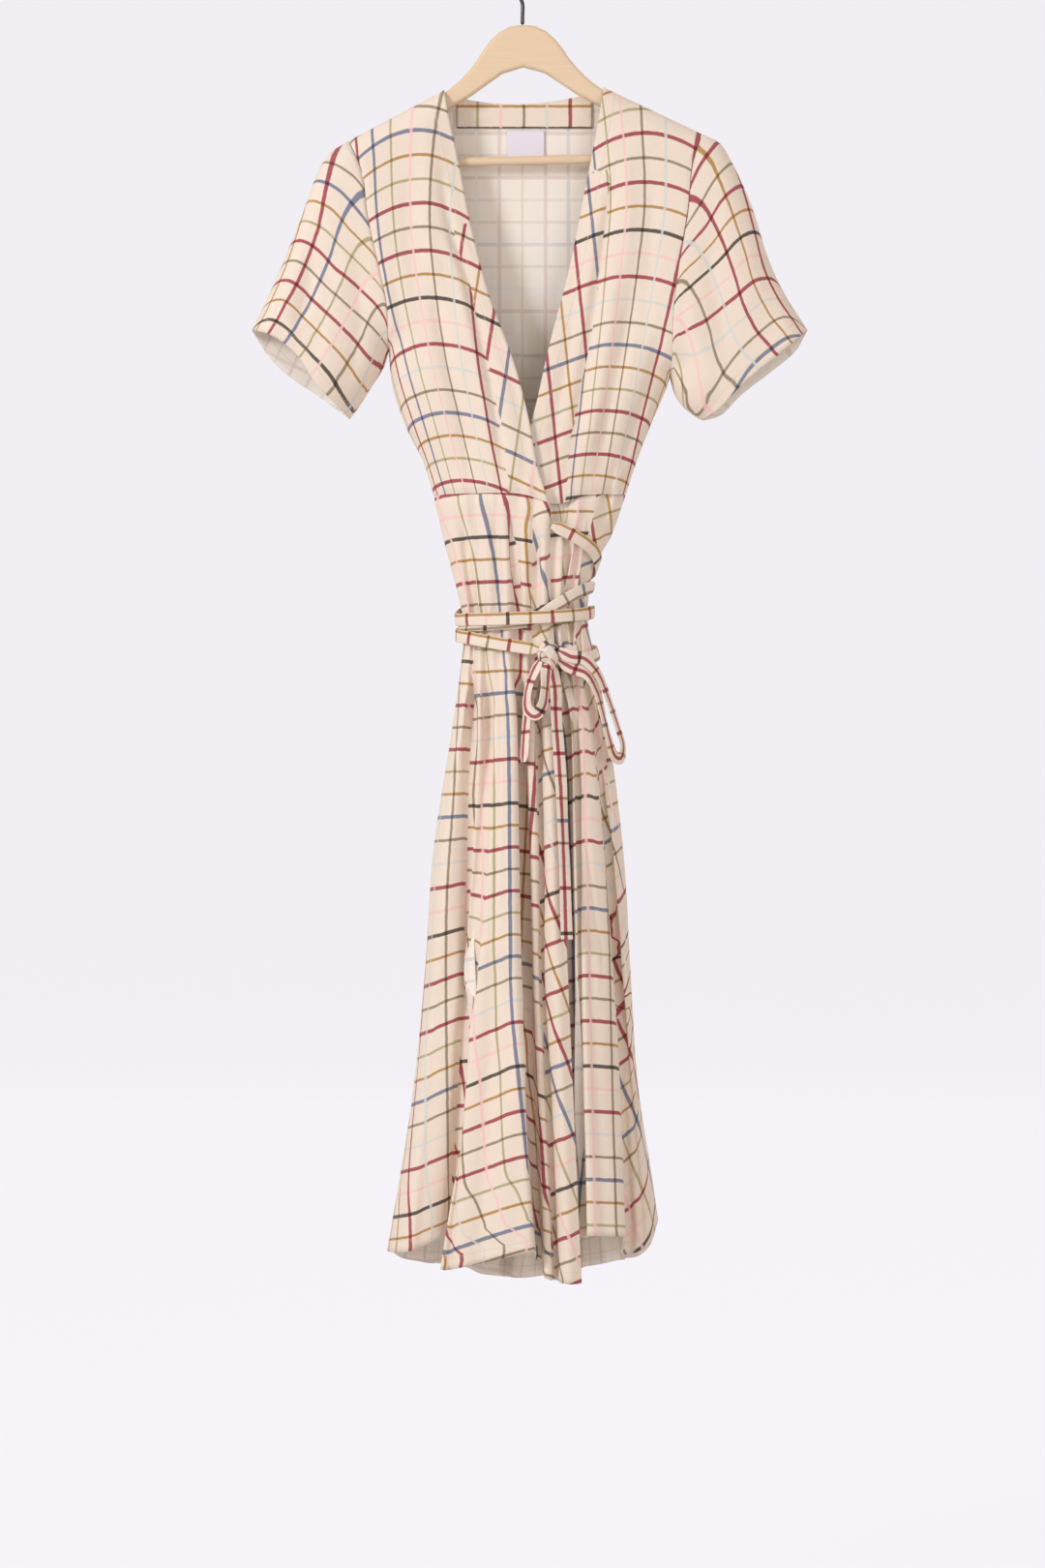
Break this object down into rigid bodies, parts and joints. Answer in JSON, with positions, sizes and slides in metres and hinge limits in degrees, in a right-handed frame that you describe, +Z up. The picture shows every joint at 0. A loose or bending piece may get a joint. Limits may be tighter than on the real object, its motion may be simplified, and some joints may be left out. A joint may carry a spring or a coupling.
{
  "type": "wrap dress on a wooden hanger",
  "caption": "Midi wrap dress with short sleeves, crossing fronts, flared skirt and waist ties, hanging open and hollow on a wooden hanger with a trouser bar.",
  "frame": {"origin": "inner top of the hanger hook, where a rod or peg carries it", "axes": "+Z up, the front of the dress faces -Y, +X to the right of someone who looks at the front"},
  "size_m": [0.5743, 0.21, 1.394],
  "materials": {
    "check_cloth": "matte",
    "tie_cloth": "matte",
    "label_cloth": "satin",
    "hanger_wood": "satin",
    "hook_wire": "satin"
  },
  "bodies": {
    "root": {"bodice_front_over": "check_cloth", "bodice_front_under": "check_cloth", "bodice_back": "check_cloth", "sleeve_left": "check_cloth", "sleeve_right": "check_cloth", "skirt_front_over": "check_cloth", "skirt_front_under": "check_cloth", "skirt_back": "check_cloth", "back_neck_facing": "check_cloth", "label": "label_cloth", "tie_over": "tie_cloth", "tie_under": "tie_cloth", "tie_knot": "tie_cloth", "bow_loop": "tie_cloth", "small_loop": "tie_cloth", "long_tail": "tie_cloth", "short_tail": "tie_cloth", "hanger_body": "hanger_wood", "hanger_bar": "hanger_wood", "hanger_hook": "hook_wire"}
  },
  "joints": []
}
